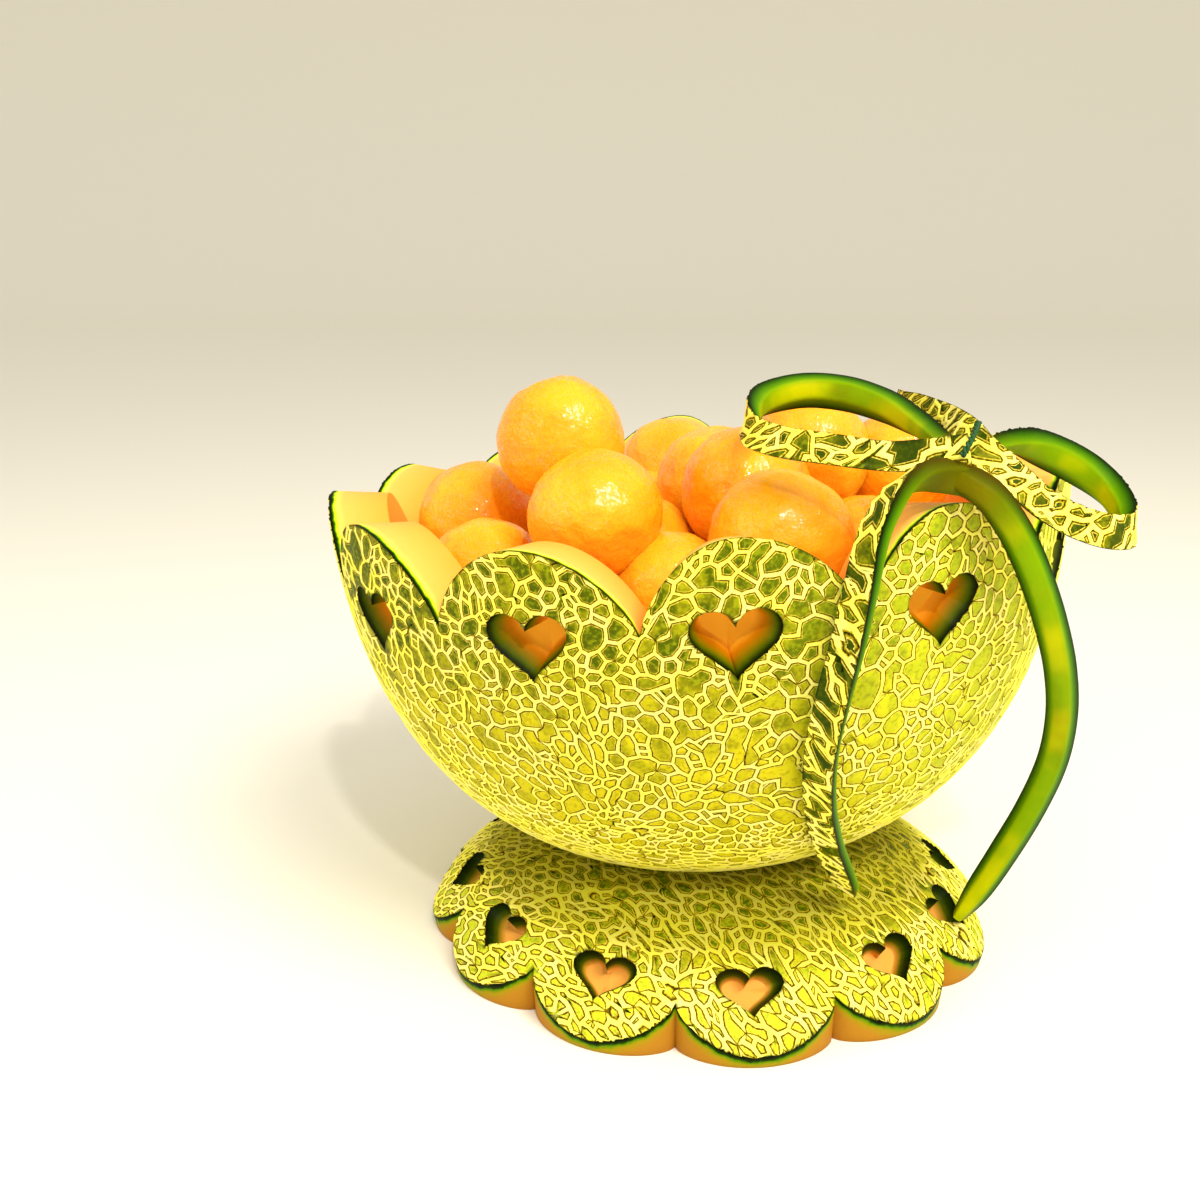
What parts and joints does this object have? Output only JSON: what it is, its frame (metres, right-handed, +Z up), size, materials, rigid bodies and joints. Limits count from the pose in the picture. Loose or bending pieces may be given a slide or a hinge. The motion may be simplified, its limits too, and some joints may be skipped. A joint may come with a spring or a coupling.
{
  "type": "carved cantaloupe melon bowl",
  "caption": "Netted melon carved into a scalloped bowl on a scalloped foot, filled with melon balls, with a bow of rind strips at its rim.",
  "frame": {"origin": "middle of the foot's flat underside, on the table", "axes": "+Z up, -Y towards the front, where the two tails of the bow hang, +X to the right seen from the front"},
  "size_m": [0.1693, 0.1731, 0.133],
  "materials": {
    "netted_rind": "raised cream netting on green melon skin",
    "melon_flesh": "moist orange flesh",
    "rind_strip": "netted outside, moist green inside",
    "green_thread": "twisted thread"
  },
  "bodies": {
    "root": {"foot": "netted_rind", "bowl": "netted_rind", "melon_balls": "melon_flesh", "bow_loop_left": "rind_strip", "bow_loop_right": "rind_strip", "bow_tail_left": "rind_strip", "bow_tail_right": "rind_strip", "bow_tie": "green_thread"}
  },
  "joints": []
}
